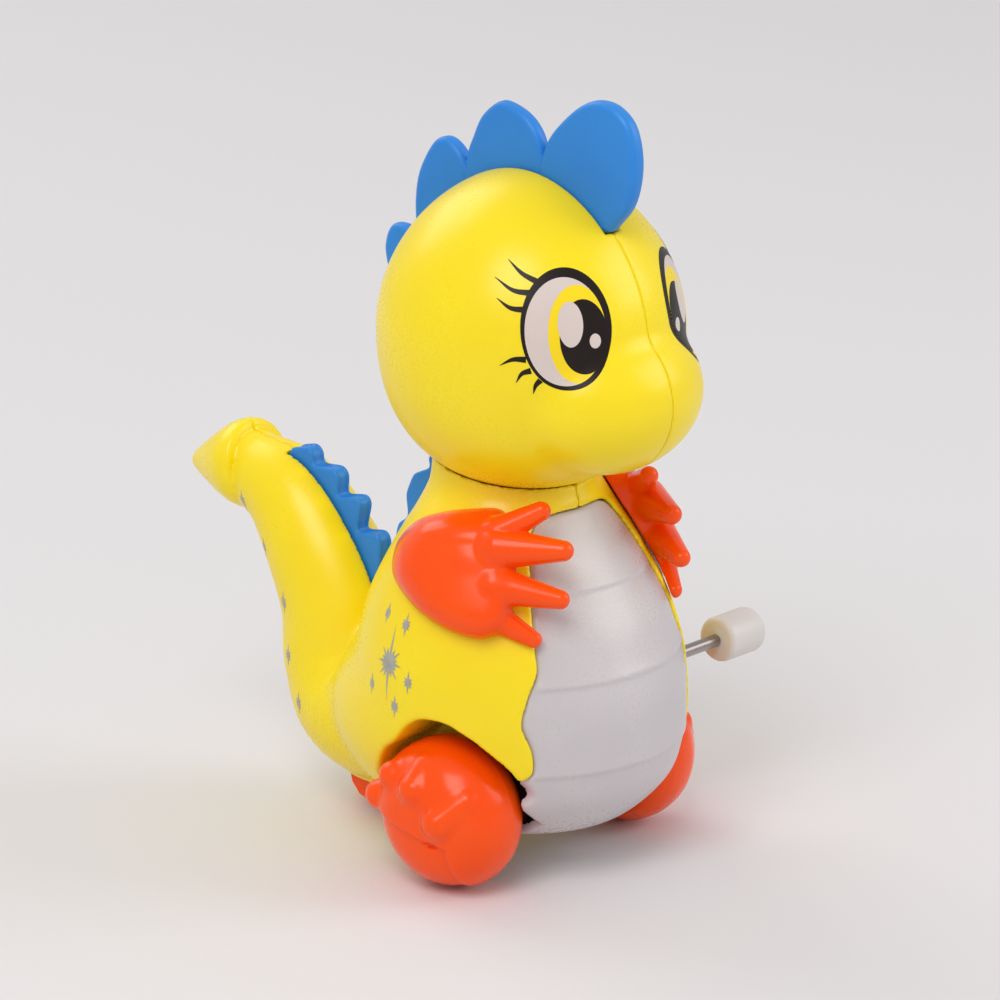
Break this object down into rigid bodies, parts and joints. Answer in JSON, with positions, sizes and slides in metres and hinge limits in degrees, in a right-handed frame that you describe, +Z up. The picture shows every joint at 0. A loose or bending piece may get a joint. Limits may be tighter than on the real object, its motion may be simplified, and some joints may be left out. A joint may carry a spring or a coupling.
{
  "type": "wind-up toy dinosaur",
  "caption": "Small plastic clockwork dinosaur toy with a turning round head, blue back crest, domed orange foot wheels and a side winding knob.",
  "frame": {"origin": "bottom centre of the bounding box, on the surface the toy stands on", "axes": "+Z up, -Y the way the toy faces, +X towards its winding knob (the toy's left)"},
  "size_m": [0.0704, 0.102, 0.1222],
  "materials": {
    "yellow_plastic": "smooth glossy moulding",
    "blue_plastic": "satin moulding",
    "orange_plastic": "glossy moulding",
    "white_plastic": "pearly satin moulding",
    "black_plastic": "matt moulding",
    "gear_plastic": "natural acetal",
    "brass": "machined",
    "steel": "drawn wire and strip"
  },
  "bodies": {
    "body": {"body_shell_left": "yellow_plastic", "body_shell_right": "yellow_plastic", "belly_plate": "white_plastic", "neck_spines": "blue_plastic", "tail_spines": "blue_plastic", "arm_left": "orange_plastic", "arm_right": "orange_plastic", "motor_case_left": "black_plastic", "motor_case_right": "black_plastic", "mainspring": "steel", "idler_pin": "steel", "roller_bracket": "orange_plastic", "roller_pin": "steel", "shell_screw_upper": "steel", "shell_screw_lower": "steel", "shell_screw_tail": "steel"},
    "head": {"head_shell_left": "yellow_plastic", "head_shell_right": "yellow_plastic", "head_crest": "blue_plastic"},
    "wheels": {"foot_wheel_left": "orange_plastic", "foot_wheel_right": "orange_plastic", "drive_axle": "steel", "axle_pinion": "brass"},
    "idler": {"idler_gear": "gear_plastic", "idler_pinion": "gear_plastic"},
    "winding": {"winding_shaft": "steel", "winding_gear": "gear_plastic", "winding_knob": "white_plastic"},
    "roller": {"rear_roller": "orange_plastic"}
  },
  "joints": [
    {"name": "head_turn", "type": "hinge", "parent": "body", "child": "head", "pos_m": [-0.00434, -0.02263, 0.066], "axis": [0, 0, 1], "range_deg": [-35, 35]},
    {"name": "axle_spin", "type": "hinge", "parent": "body", "child": "wheels", "pos_m": [-0.00434, -0.02423, 0.012], "axis": [1, 0, 0], "continuous": true},
    {"name": "idler_spin", "type": "hinge", "parent": "body", "child": "idler", "pos_m": [-0.00434, -0.02833, 0.0211], "axis": [1, 0, 0], "continuous": true},
    {"name": "winding_spin", "type": "hinge", "parent": "body", "child": "winding", "pos_m": [-0.00434, -0.03423, 0.0292], "axis": [1, 0, 0], "continuous": true},
    {"name": "roller_spin", "type": "hinge", "parent": "body", "child": "roller", "pos_m": [-0.00434, 0.00377, 0.0044], "axis": [1, 0, 0], "continuous": true}
  ],
  "couplings": [
    {"joint": "idler_spin", "follows": "axle_spin", "ratio": -0.33333},
    {"joint": "winding_spin", "follows": "axle_spin", "ratio": 0.14286}
  ]
}
